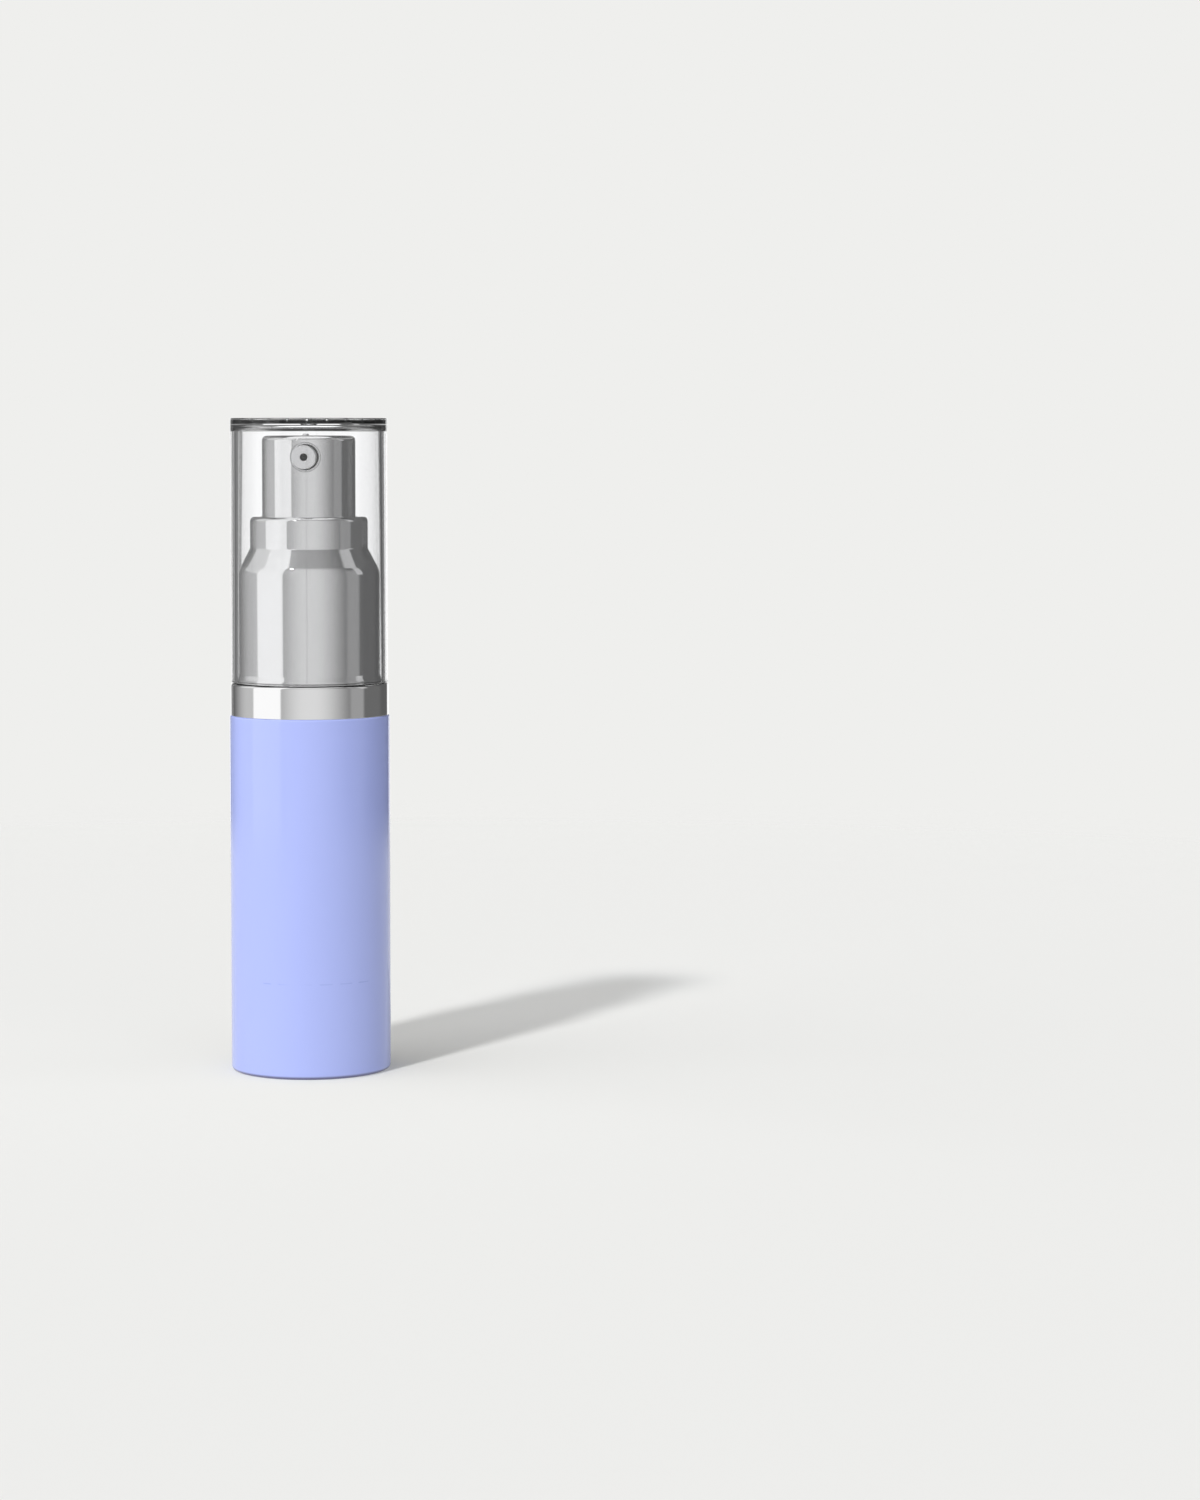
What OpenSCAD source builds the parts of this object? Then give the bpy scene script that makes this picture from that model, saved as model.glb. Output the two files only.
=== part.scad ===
// Airless pump bottle with a stepped silver collar and a clear push-on overcap.
// The frame: +Z up, the origin on the table under the middle of the bottle, the nozzle towards -Y.
// Every outline is drawn as [radius, height, corner radius] and turned about the Z axis.

/* [Bottle] */
// Outside diameter of the lavender sleeve
sleeve_d = 27; // [22.5:0.5:33]
// Height of the sleeve from the table to its top rim
sleeve_h = 60.2; // [50:0.1:80]
// Wall of the sleeve
sleeve_wall = 1.3; // [1:0.1:1.6]
// Rounding of the sleeve's lower edge
sleeve_foot_r = 0.9; // [0.4:0.1:1]
// Rounding of the sleeve's upper edge
sleeve_rim_r = 0.3; // [0.1:0.1:0.5]
// Height of the ring of lugs inside the sleeve that centre the container
lug_z = 15.6; // [12:0.1:20]
// How far the lugs stand in from the sleeve's wall
lug_depth = 0.3; // [0.2:0.05:0.4]
// Number of lugs
lug_count = 24; // [12:2:30]
// Wall of the inner container
container_wall = 1; // [0.8:0.1:1.2]
// Thickness of the container's shoulder, from the flange's top face down
shoulder_t = 1.5; // [1.2:0.1:2]
// Height of the container's neck above its flange
container_neck_h = 9.5; // [8:0.1:11.5]
// Wall of the container's neck
container_neck_wall = 1.1; // [0.9:0.1:1.4]
// Height of the base plug's rim
plug_h = 4; // [3.4:0.1:5]
// Thickness of the base plug's web
plug_web_t = 1.2; // [1:0.1:1.5]
// Diameter of the air hole in the base plug
vent_d = 1.6; // [1:0.1:2]

/* [Shoulder ring and collar] */
// Step from the sleeve in to the shoulder ring
ring_inset = 0.2; // [0.1:0.05:0.3]
// Height of the shoulder ring
ring_h = 5.5; // [4.5:0.1:7]
// Thickness of the ledge on which the cap and the collar stand
ledge_t = 0.9; // [0.7:0.1:1.2]
// Wall of the collar and the shoulder ring
collar_wall = 0.7; // [0.5:0.05:0.85]
// Height of the collar's wide part
neck_h = 19; // [16:0.5:24]
// Height of the collar's cone
cone_h = 3.7; // [3:0.1:4.5]
// How far the cone narrows on the radius
cone_step = 1.9; // [1.5:0.1:2.3]
// Height of the collar's narrow part above the cone
top_h = 5.3; // [4.4:0.1:6.4]
// Rounding of the collar's top edge
collar_top_r = 0.8; // [0.4:0.1:1]
// How far the bead at the collar's foot stands out
bead_proud = 0.3; // [0.1:0.05:0.35]
// Height of that bead
bead_h = 1.5; // [1.2:0.1:2]
// Step from the collar's narrow part in to the actuator
collar_lip = 2.04; // [1.8:0.02:2.4]

/* [Overcap] */
// Step from the sleeve in to the cap
cap_inset = 0.3; // [0.2:0.05:0.4]
// Wall of the cap at its mouth
cap_wall = 1; // [0.8:0.05:1.2]
// How much the cap's inside narrows from its mouth to its ceiling, on the radius
cap_draft = 0.3; // [0.1:0.05:0.4]
// Thickness of the cap's top
cap_top_t = 2.2; // [1.8:0.1:2.7]
// Free height over the actuator
cap_head_gap = 0.7; // [0.6:0.1:1.5]
// Rounding of the cap's inner corner
cap_inner_r = 0.6; // [0.3:0.1:0.9]

/* [Actuator] */
// Height of the actuator that shows above the collar at rest
head_show = 13.6; // [12.4:0.1:17]
// How far the actuator's skirt reaches into the collar at rest
head_engage = 2.5; // [2:0.1:3]
// Wall of the actuator's shell
head_wall = 0.9; // [0.7:0.05:1.1]
// Rounding of the actuator's top edge
head_top_r = 0.9; // [0.5:0.1:1.2]
// Depth of the dish in the actuator's top
head_dish = 0.3; // [0.1:0.05:0.4]
// Diameter of the pip on the actuator's rim that shows where the nozzle points
pip_d = 1; // [0.8:0.1:1.2]
// Height of the pip
pip_h = 0.3; // [0.2:0.05:0.4]
// Outside diameter of the nozzle
nozzle_d = 4; // [3.4:0.1:4.8]
// Diameter of the nozzle's outlet
outlet_d = 1.2; // [0.8:0.1:1.6]
// From the actuator's top down to the nozzle's axis
nozzle_drop = 3.6; // [3.4:0.1:4.4]
// Free space between the nozzle's face and the cap
nozzle_cap_gap = 0.95; // [0.8:0.05:2]
// How far the recess around the nozzle widens at the shell's face, on the radius
recess_flare = 0.55; // [0.3:0.05:0.7]

/* [Pump] */
// Travel of the actuator when it is pressed
stroke = 5; // [4.1:0.1:6]
// Bore of the pump chamber
pump_bore_d = 7.8; // [6.6:0.1:8.4]
// Wall of the pump housing
housing_wall = 0.9; // [0.8:0.05:1.1]
// Outside diameter of the stem
stem_d = 4.2; // [3.8:0.1:4.6]
// Bore of the stem
stem_bore_d = 2.4; // [2:0.1:2.6]
// Height of the pump piston
piston_h = 4; // [3.4:0.1:4.8]
// Lost motion between the pump piston and the stem, which opens the outlet
piston_float = 0.6; // [0.4:0.05:0.8]
// Diameter of the inlet ball
ball_d = 3; // [2.6:0.1:3.2]
// Lift of the inlet ball
ball_lift = 0.8; // [0.5:0.1:1]
// Wire of the return spring
spring_wire_d = 0.7; // [0.6:0.05:0.8]
// Turns of the return spring, with a closed one at each end
spring_turns = 7; // [6:1:8]
// Free length left when the spring is fully pressed
spring_spare = 1; // [0.8:0.1:1.5]

/* [Follower piston] */
// Height of the follower piston's skirt
follower_h = 9; // [7.5:0.1:10.8]
// Wall of the follower piston
follower_wall = 1; // [0.8:0.1:1.2]

/* [Clearances] */
// Between a sliding lip or shaft and its bore
slide_gap = 0.05; // [0.03:0.01:0.08]
// Between fixed pieces that slip into each other
fit_gap = 0.1; // [0.05:0.01:0.15]
// Between pressed pieces that don't move
press_gap = 0.02; // [0.01:0.01:0.03]
// Between a moving piece and the face that it stops on
stop_gap = 0.05; // [0.03:0.01:0.1]
// Between the actuator and the collar's hole
head_gap = 0.15; // [0.1:0.01:0.2]

/* [Hidden] */
$fn = 96;
arc_steps = 6;
cut = 0.5;

lavender = [0.70, 0.75, 0.98];
silver = [0.78, 0.78, 0.78];
natural = [0.93, 0.93, 0.90];
steel = [0.62, 0.63, 0.65];
clear = [0.90, 0.93, 0.95, 0.35];

// Radii, from the outside in.
sleeve_r = sleeve_d / 2;
sleeve_in_r = sleeve_r - sleeve_wall;
ring_r = sleeve_r - ring_inset;
ring_in_r = ring_r - collar_wall;
cap_r = sleeve_r - cap_inset;
cap_mouth_r = cap_r - cap_wall;
cap_ceiling_r = cap_mouth_r - cap_draft;
bead_r = cap_mouth_r - slide_gap;
neck_r = bead_r - bead_proud;
neck_in_r = neck_r - collar_wall;
top_r = neck_r - cone_step;
top_in_r = top_r - collar_wall;
head_r = top_r - collar_lip;
head_in_r = head_r - head_wall;
head_hole_r = head_r + head_gap;

// The closure fills the collar, and the container's neck fills the closure.
closure_wall = 0.9;
closure_r = neck_in_r - fit_gap;
closure_in_r = closure_r - closure_wall;
snap_depth = 0.5;
neck_bead_r = closure_in_r - fit_gap;
container_neck_r = neck_bead_r - snap_depth;
container_neck_in_r = container_neck_r - container_neck_wall;
container_r = sleeve_in_r - lug_depth - fit_gap;
container_in_r = container_r - container_wall;
flange_r = ring_in_r - fit_gap;

// The pump's radii.
bore_r = pump_bore_d / 2;
housing_r = bore_r + housing_wall;
stem_r = stem_d / 2;
stem_bore_r = stem_bore_d / 2;
ball_r = ball_d / 2;
cage_wall = 0.55;
cage_in_r = ball_r + 2 * fit_gap;
cage_r = cage_in_r + cage_wall;
valve_bore_r = cage_r + press_gap;
inlet_r = ball_r - 0.4;
barrel_r = valve_bore_r + housing_wall;
guide_flange_r = housing_r + 0.4;
spring_r = stem_r + 0.65 + spring_wire_d / 2;
boss_r = spring_r + spring_wire_d / 2 + 0.2;
nozzle_r = nozzle_d / 2;
nozzle_reach = cap_ceiling_r - nozzle_cap_gap;
nozzle_hole_r = nozzle_r + fit_gap;

// Heights of the bottle, from the table up.
container_z = plug_h;
flange_t = 0.9;
flange_top = sleeve_h + flange_t;
shoulder_under = flange_top - shoulder_t;
mouth_z = flange_top + container_neck_h;
gasket_t = 0.8;
housing_flange_t = 1;
housing_flange_z = mouth_z + gasket_t;
deck_under = housing_flange_z + housing_flange_t;
deck_t = 1.3;
deck_top = deck_under + deck_t;
ledge_z = sleeve_h + ring_h;
cone_z = ledge_z + neck_h;
cone_top_z = cone_z + cone_h;
collar_top = cone_top_z + top_h;
turret_top = collar_top - collar_wall;
head_top = collar_top + head_show;
head_bottom = collar_top - head_engage;
cap_bottom = ledge_z + stop_gap;
cap_ceiling = head_top + cap_head_gap;
cap_top = cap_ceiling + cap_top_t;
nozzle_z = head_top - nozzle_drop;

// Heights of the pump, from the chamber's floor up.
chamber_drop = 2;
dead_space = 0.8;
mushroom_t = 0.8;
stem_flange_t = 0.8;
guide_plug_h = 2;
guide_flange_t = 1;
chamber_floor = housing_flange_z - chamber_drop;
mushroom_z = chamber_floor + dead_space + stroke;
stem_foot = mushroom_z + mushroom_t;
piston_z = stem_foot + stop_gap;
stem_flange_z = piston_z + piston_h + piston_float + stop_gap;
guide_under = stem_flange_z + stem_flange_t + stop_gap;
housing_top = guide_under + guide_plug_h;
guide_top = housing_top + guide_flange_t;
spring_z = guide_top + stop_gap;
spring_len = stroke + spring_turns * spring_wire_d + spring_spare;
boss_under = spring_z + spring_len + stop_gap;
stem_top = nozzle_z - 2.2;

// Heights of the inlet valve, from the chamber's floor down. The seat is a 45 degree cone.
seat_rise = valve_bore_r - inlet_r;
cage_bar_t = 0.7;
cage_head = 1;
ball_rest = (ball_r + stop_gap) * sqrt(2) - inlet_r;
cage_bar_over_seat = ball_rest + ball_r + ball_lift + stop_gap;
seat_z = chamber_floor - cage_head - cage_bar_t - cage_bar_over_seat;
inlet_len = 2;
housing_foot = seat_z - inlet_len;

// The follower's heights.
follower_z = plug_h + 0.3;
plateau_h = 1.2;
plateau_r = container_neck_in_r - 0.4;
follower_travel = shoulder_under - 0.3 - follower_h - follower_z;

// The points of one corner: an arc of radius f that touches both sides, or the sharp point.
function corner(before, at, after, f) =
    f == 0 ? [at]
    : let (
        u = (before - at) / norm(before - at),
        v = (after - at) / norm(after - at),
        half = acos(u * v) / 2,
        centre = at + (u + v) / norm(u + v) * f / sin(half),
        from = at + u * f / tan(half) - centre,
        turn = cross(from, at + v * f / tan(half) - centre) > 0 ? 1 : -1
    )
    [for (k = [0:arc_steps])
        let (a = turn * (180 - 2 * half) * k / arc_steps)
        centre + [from[0] * cos(a) - from[1] * sin(a), from[0] * sin(a) + from[1] * cos(a)]];

function rounded(p) =
    let (n = len(p), xy = [for (q = p) [q[0], q[1]]])
    [for (i = [0:n - 1])
        each corner(xy[(i + n - 1) % n], xy[i], xy[(i + 1) % n], len(p[i]) > 2 ? p[i][2] : 0)];

// A solid of revolution from [radius, height, corner radius] points.
module turned(outline) {
    rotate_extrude() polygon(rounded(outline));
}

// A plain drill from z0 to z1 with some over-run at both ends.
module drill(r, z0, z1) {
    translate([0, 0, z0 - cut]) cylinder(r = r, h = z1 - z0 + 2 * cut);
}

// A cylinder along -Y, from the distance y0 to the distance y1 in front of the axis.
module front_rod(r0, r1, y0, y1, z) {
    translate([0, -y0, z]) rotate([90, 0, 0]) cylinder(r1 = r0, r2 = r1, h = y1 - y0);
}

// The glossy outer tube, open at both ends, with a ring of short lugs round the container.
module outer_sleeve() {
    lug_w = 1.6;
    lug_t = 0.8;
    color(lavender) union() {
        turned([
            [sleeve_in_r, 0],
            [sleeve_r, 0, sleeve_foot_r],
            [sleeve_r, sleeve_h, sleeve_rim_r],
            [sleeve_in_r, sleeve_h]
        ]);
        for (k = [0:lug_count - 1])
            rotate(k * 360 / lug_count) translate([sleeve_in_r - lug_depth, -lug_w / 2, lug_z])
                cube([lug_depth + sleeve_wall / 2, lug_w, lug_t]);
    }
}

// Pressed into the sleeve's foot. It carries the container and lets air in below the follower.
module base_plug() {
    rim_r = sleeve_in_r - press_gap;
    rim_in_r = container_in_r - 1.4;
    web_z = plug_h - plug_web_t - 1.4;
    rib_w = 0.8;
    color(lavender) difference() {
        union() {
            turned([
                [0, web_z],
                [rim_in_r, web_z, 0.3],
                [rim_in_r, 0],
                [rim_r, 0, 0.2],
                [rim_r, plug_h, 0.2],
                [rim_in_r, plug_h, 0.2],
                [rim_in_r, web_z + plug_web_t, 0.3],
                [0, web_z + plug_web_t]
            ]);
            for (a = [0:60:300])
                rotate(a) translate([vent_d, -rib_w / 2, web_z + plug_web_t / 2])
                    cube([rim_in_r - vent_d + rib_w / 2, rib_w, plug_h - 0.4 - web_z - plug_web_t / 2]);
        }
        drill(vent_d / 2, web_z, plug_h);
    }
}

// The inner vial that holds the product. Its flange sits on the sleeve's rim, and its neck takes the closure.
module container() {
    snap_z = flange_top + container_neck_h / 2;
    snap_h = 1.4;
    spigot_r = sleeve_in_r - fit_gap;
    spigot_h = 2;
    color(natural) turned([
        [container_in_r, container_z, 0.3],
        [container_r, container_z],
        [container_r, sleeve_h - spigot_h - lug_depth],
        [spigot_r, sleeve_h - spigot_h],
        [spigot_r, sleeve_h],
        [flange_r, sleeve_h],
        [flange_r, flange_top, 0.2],
        [container_neck_r, flange_top, 0.3],
        [container_neck_r, snap_z],
        [neck_bead_r, snap_z, 0.15],
        [neck_bead_r, snap_z + snap_h / 2, 0.15],
        [container_neck_r, snap_z + snap_h, 0.2],
        [container_neck_r, mouth_z, 0.2],
        [container_neck_in_r, mouth_z, 0.2],
        [container_neck_in_r, shoulder_under, 0.4],
        [container_in_r, shoulder_under, 0.5]
    ]);
}

// The piston that climbs as the product is used up: a cup with a lip at each end of its skirt.
module follower_piston() {
    lip_r = container_in_r - slide_gap;
    skirt_r = lip_r - 0.5;
    lip_h = 1.2;
    top = follower_z + follower_h;
    web_z = top - 2 * follower_wall;
    rib_z = follower_z + lip_h + 0.4;
    color(natural) difference() {
        union() {
            turned([
                [0, web_z],
                [skirt_r - follower_wall, web_z, 0.6],
                [skirt_r - follower_wall, follower_z + lip_h],
                [lip_r - 0.4, follower_z],
                [lip_r, follower_z],
                [lip_r, follower_z + 0.3],
                [skirt_r, follower_z + lip_h],
                [skirt_r, top - lip_h],
                [lip_r, top - 0.3],
                [lip_r, top],
                [lip_r - 0.4, top],
                [skirt_r - follower_wall, top - lip_h, 0.3],
                [plateau_r, top - lip_h, 0.3],
                [plateau_r, top + plateau_h, 0.3],
                [0, top + plateau_h]
            ]);
            for (a = [0:60:300])
                rotate(a) translate([0, -follower_wall / 2, rib_z])
                    cube([skirt_r - follower_wall / 2, follower_wall, web_z - rib_z + cut]);
        }
        drill(plateau_r - 2 * follower_wall, rib_z, web_z - follower_wall - cut);
    }
}

// The silver band between the sleeve and the cap, with the ledge that the collar and the cap stand on.
module shoulder_ring() {
    color(silver) turned([
        [ring_in_r, sleeve_h],
        [ring_r, sleeve_h],
        [ring_r, ledge_z, 0.25],
        [closure_r + fit_gap, ledge_z],
        [closure_r + fit_gap, ledge_z - ledge_t],
        [ring_in_r, ledge_z - ledge_t, 0.3]
    ]);
}

// The stepped shell round the pump, drawn from thin stock, with a rolled bead at its foot.
module collar() {
    inner_cone_top = cone_top_z - collar_wall * 0.35;
    inner_cone_z = cone_z - collar_wall * 0.35;
    color(silver) turned([
        [neck_in_r, ledge_z],
        [bead_r - bead_proud / 2, ledge_z],
        [bead_r, ledge_z + bead_h / 3, 0.8],
        [neck_r, ledge_z + bead_h, 0.8],
        [neck_r, cone_z, 1],
        [top_r, cone_top_z, 1],
        [top_r, collar_top, collar_top_r],
        [head_hole_r, collar_top, 0.2],
        [head_hole_r, turret_top],
        [top_in_r, turret_top, 0.2],
        [top_in_r, inner_cone_top],
        [neck_in_r, inner_cone_z]
    ]);
}

// The plastic closure that snaps onto the container's neck, clamps the pump and carries the collar.
module closure() {
    foot_z = flange_top + 0.3;
    foot_t = 1.2;
    ridge_top = flange_top + container_neck_h / 2 - fit_gap;
    ridge_h = 1.2;
    turret_r = top_in_r - fit_gap;
    rib_w = 0.8;
    rib_count = 8;
    rib_top = cone_z - collar_wall - fit_gap;
    color(natural) union() {
        turned([
            [closure_in_r, foot_z, 0.3],
            [flange_r, foot_z],
            [flange_r, foot_z + foot_t, 0.3],
            [closure_r, foot_z + foot_t],
            [closure_r, deck_top, 0.4],
            [turret_r, deck_top],
            [turret_r, turret_top, 0.4],
            [head_hole_r, turret_top, 0.2],
            [head_hole_r, deck_top],
            [housing_r + fit_gap, deck_top],
            [housing_r + fit_gap, deck_under],
            [closure_in_r, deck_under],
            [closure_in_r, ridge_top],
            [container_neck_r + fit_gap, ridge_top - 0.2],
            [container_neck_r + fit_gap, ridge_top - ridge_h + 0.3],
            [closure_in_r, ridge_top - ridge_h]
        ]);
        for (k = [0:rib_count - 1])
            rotate(k * 360 / rib_count) translate([turret_r - 0.3, -rib_w / 2, deck_top - cut])
                cube([closure_r - turret_r + 0.3 - fit_gap, rib_w, rib_top - deck_top + cut]);
    }
}

// The soft ring between the container's mouth and the pump's flange.
module housing_gasket() {
    color([0.85, 0.85, 0.83]) turned([
        [housing_r + fit_gap, mouth_z],
        [container_neck_r, mouth_z],
        [container_neck_r, housing_flange_z],
        [housing_r + fit_gap, housing_flange_z]
    ]);
}

// The pump's body: chamber above, ball seat and inlet below, hung from its flange.
module pump_housing() {
    web_z = chamber_floor - housing_wall;
    color(natural) turned([
        [inlet_r, housing_foot],
        [barrel_r - 0.8, housing_foot],
        [barrel_r, housing_foot + 1.2],
        [barrel_r, web_z, 0.4],
        [housing_r, web_z, 0.5],
        [housing_r, housing_flange_z],
        [neck_bead_r, housing_flange_z],
        [neck_bead_r, deck_under],
        [housing_r, deck_under],
        [housing_r, housing_top, 0.2],
        [bore_r, housing_top],
        [bore_r, chamber_floor],
        [valve_bore_r, chamber_floor],
        [valve_bore_r, seat_z + seat_rise],
        [inlet_r, seat_z]
    ]);
}

// Keeps the ball within its lift. Three arms carry a hub, and the product flows between them.
module ball_cage() {
    arm_w = 0.6;
    hub_r = 0.7;
    cage_z = seat_z + seat_rise + 0.1;
    bar_z = seat_z + cage_bar_over_seat;
    color(natural) union() {
        turned([
            [cage_in_r, cage_z],
            [cage_r, cage_z, 0.15],
            [cage_r, chamber_floor],
            [cage_in_r, chamber_floor, 0.2]
        ]);
        translate([0, 0, bar_z]) cylinder(r = hub_r, h = cage_bar_t);
        for (a = [0:120:240])
            rotate(a) translate([0, -arm_w / 2, bar_z]) cube([cage_in_r + cage_wall / 2, arm_w, cage_bar_t]);
    }
}

// The check ball on its seat.
module inlet_ball() {
    color(steel) translate([0, 0, seat_z + ball_rest]) sphere(r = ball_r);
}

// Pressed into the housing's top. It guides the stem, stops it on the way up and carries the spring.
module stem_guide() {
    color(natural) turned([
        [stem_r + slide_gap, guide_under, 0.15],
        [bore_r - press_gap, guide_under, 0.2],
        [bore_r - press_gap, housing_top],
        [guide_flange_r, housing_top],
        [guide_flange_r, guide_top, 0.3],
        [stem_r + slide_gap, guide_top, 0.15]
    ]);
}

// The hollow stem. Slots in its foot let the product in once the piston has lifted off the valve rod.
module stem() {
    flange_out_r = bore_r - 0.9;
    slot_w = 0.9;
    color(natural) difference() {
        turned([
            [stem_bore_r, stem_foot],
            [stem_r, stem_foot],
            [stem_r, stem_flange_z],
            [flange_out_r, stem_flange_z, 0.15],
            [flange_out_r, stem_flange_z + stem_flange_t, 0.15],
            [stem_r, stem_flange_z + stem_flange_t],
            [stem_r, stem_top, 0.3],
            [stem_bore_r, stem_top]
        ]);
        for (a = [0, 90])
            rotate(a) translate([-stem_r - cut, -slot_w / 2, stem_foot - cut])
                cube([2 * stem_r + 2 * cut, slot_w, piston_float + cut]);
    }
}

// The rod in the stem's foot: its head carries the piston, and its flutes let the product pass.
module valve_rod() {
    head_r = bore_r - 0.7;
    rod_len = 5;
    flute_w = 0.8;
    color(natural) difference() {
        turned([
            [0, mushroom_z],
            [head_r, mushroom_z, 0.3],
            [head_r, stem_foot, 0.2],
            [stem_bore_r - press_gap, stem_foot],
            [stem_bore_r - press_gap, stem_foot + rod_len, 0.4],
            [0, stem_foot + rod_len]
        ]);
        for (a = [0, 90, 180, 270])
            rotate(a) translate([stem_bore_r - 0.45, -flute_w / 2, stem_foot + 0.3])
                cube([1, flute_w, rod_len]);
    }
}

// The pump piston: a sleeve on the stem with a lip above and below that wipes the chamber.
module pump_piston() {
    lip_r = bore_r - slide_gap;
    sleeve_out_r = stem_r + slide_gap + 0.6;
    waist = 0.5;
    mid = piston_z + piston_h / 2;
    top = piston_z + piston_h;
    color(natural) turned([
        [stem_r + slide_gap, piston_z],
        [sleeve_out_r, piston_z, 0.15],
        [sleeve_out_r, mid - waist, 0.2],
        [lip_r - 0.6, mid - waist, 0.2],
        [lip_r - 0.3, piston_z + 0.3],
        [lip_r, piston_z + 0.3],
        [lip_r, piston_z + 0.7],
        [lip_r - 0.15, mid - waist],
        [lip_r - 0.15, mid + waist],
        [lip_r, top - 0.7],
        [lip_r, top - 0.3],
        [lip_r - 0.3, top - 0.3],
        [lip_r - 0.6, mid + waist, 0.2],
        [sleeve_out_r, mid + waist, 0.2],
        [sleeve_out_r, top, 0.15],
        [stem_r + slide_gap, top]
    ]);
}

// The height of the wire's centre after a number of turns: closed end turns and even ones between.
end_pitch = spring_wire_d * 1.04;
open_pitch = (spring_len - spring_wire_d - 2 * end_pitch) / (spring_turns - 2);
function wire_z(t) =
    spring_z + spring_wire_d / 2
    + end_pitch * min(t, 1)
    + open_pitch * max(0, min(t - 1, spring_turns - 2))
    + end_pitch * max(0, t - spring_turns + 1);

// The return spring, outside the product's path, between the guide and the actuator.
module return_spring() {
    steps = 24;
    sides = 8;
    rings = spring_turns * steps;
    points = [
        for (i = [0:rings], j = [0:sides - 1])
            let (
                a = 360 * i / steps,
                b = 360 * j / sides,
                r = spring_r + spring_wire_d / 2 * cos(b)
            )
            [r * cos(a), r * sin(a), wire_z(i / steps) + spring_wire_d / 2 * sin(b)]
    ];
    walls = [
        for (i = [0:rings - 1], j = [0:sides - 1])
            let (n = (j + 1) % sides, low = i * sides, high = low + sides)
            [low + j, high + j, high + n, low + n]
    ];
    first = [for (j = [0:sides - 1]) j];
    last = [for (j = [sides - 1:-1:0]) rings * sides + j];
    color(steel) polyhedron(points, concat([first], walls, [last]));
}

// The actuator's inner body: the socket for the stem, the spring's seat and the channel to the nozzle.
module actuator_core() {
    under_plate = head_top - head_dish - head_wall;
    plate_t = 1;
    body_r = head_in_r - fit_gap;
    arm_r = nozzle_r + 0.8;
    nozzle_seat = head_in_r - 2.6;
    channel_r = 0.9;
    rib_w = 0.9;
    rib_under = nozzle_z - nozzle_r - 1.5;
    color(natural) difference() {
        intersection() {
            union() {
                translate([0, 0, under_plate - plate_t]) cylinder(r = head_r, h = plate_t + cut);
                translate([0, 0, boss_under]) cylinder(r = boss_r, h = under_plate - boss_under);
                front_rod(arm_r, arm_r, 0, head_r, nozzle_z);
                for (a = [30, 90, 150])
                    rotate(a) translate([0, -rib_w / 2, rib_under])
                        cube([body_r - fit_gap, rib_w, under_plate - rib_under]);
            }
            turned([
                [0, boss_under - cut],
                [body_r, boss_under - cut],
                [body_r, under_plate, 0.5],
                [0, under_plate]
            ]);
        }
        drill(stem_r + press_gap, boss_under, stem_top - cut);
        translate([0, 0, stem_top - cut]) cylinder(r = channel_r, h = nozzle_z - stem_top + cut);
        front_rod(channel_r, channel_r, 0, nozzle_seat + cut, nozzle_z);
        front_rod(nozzle_r + press_gap, nozzle_r + press_gap, nozzle_seat, head_r + cut, nozzle_z);
    }
}

// The silver cup over the core, with a flared recess where the nozzle comes out.
module actuator_shell() {
    flare_in = head_in_r - 0.5;
    flare_out = head_r + 0.3;
    recess_r = nozzle_hole_r + recess_flare;
    pip_inset = 0.15;
    rim_w = head_top_r + pip_d + 3 * pip_inset;
    color(silver) difference() {
        union() {
            translate([0, head_top_r + pip_d / 2 + pip_inset - head_r, 0]) turned([
                [0, head_top - head_dish],
                [pip_d / 2, head_top - head_dish],
                [pip_d / 2, head_top + pip_h, pip_h / 2],
                [0, head_top + pip_h]
            ]);
            turned([
                [0, head_top - head_dish],
                [0, head_top - head_dish - head_wall],
                [head_in_r, head_top - head_dish - head_wall, 0.3],
                [head_in_r, head_bottom],
                [head_r, head_bottom, 0.2],
                [head_r, head_top, head_top_r],
                [head_r - rim_w, head_top, 0.3],
                [head_r - rim_w - 2 * head_dish, head_top - head_dish, 0.3]
            ]);
        }
        front_rod(nozzle_hole_r, recess_r, flare_in, flare_out, nozzle_z);
    }
}

// The nozzle, pressed into the core and poking out through the shell.
module nozzle() {
    nozzle_seat = head_in_r - 2.6;
    color(silver) translate([0, -nozzle_seat - press_gap, nozzle_z]) rotate([90, 0, 0]) turned([
        [outlet_d / 2 + 0.3, 0],
        [nozzle_r, 0, 0.3],
        [nozzle_r, nozzle_reach - nozzle_seat - press_gap, 0.2],
        [outlet_d / 2, nozzle_reach - nozzle_seat - press_gap, 0.1],
        [outlet_d / 2, nozzle_reach - nozzle_seat - 2],
        [outlet_d / 2 + 0.3, nozzle_reach - nozzle_seat - 2.3]
    ]);
}

// The clear cap. Its inside narrows a little towards the ceiling.
module overcap() {
    color(clear) turned([
        [cap_mouth_r, cap_bottom, 0.2],
        [cap_r, cap_bottom, 0.2],
        [cap_r, cap_top, 0.25],
        [0, cap_top],
        [0, cap_ceiling],
        [cap_ceiling_r, cap_ceiling, cap_inner_r]
    ]);
}

outer_sleeve();
base_plug();
container();
follower_piston();
shoulder_ring();
collar();
closure();
housing_gasket();
pump_housing();
ball_cage();
inlet_ball();
stem_guide();
stem();
valve_rod();
pump_piston();
return_spring();
actuator_core();
actuator_shell();
nozzle();
overcap();
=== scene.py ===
import math

import bmesh
import bpy
from mathutils import Matrix, Vector


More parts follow.
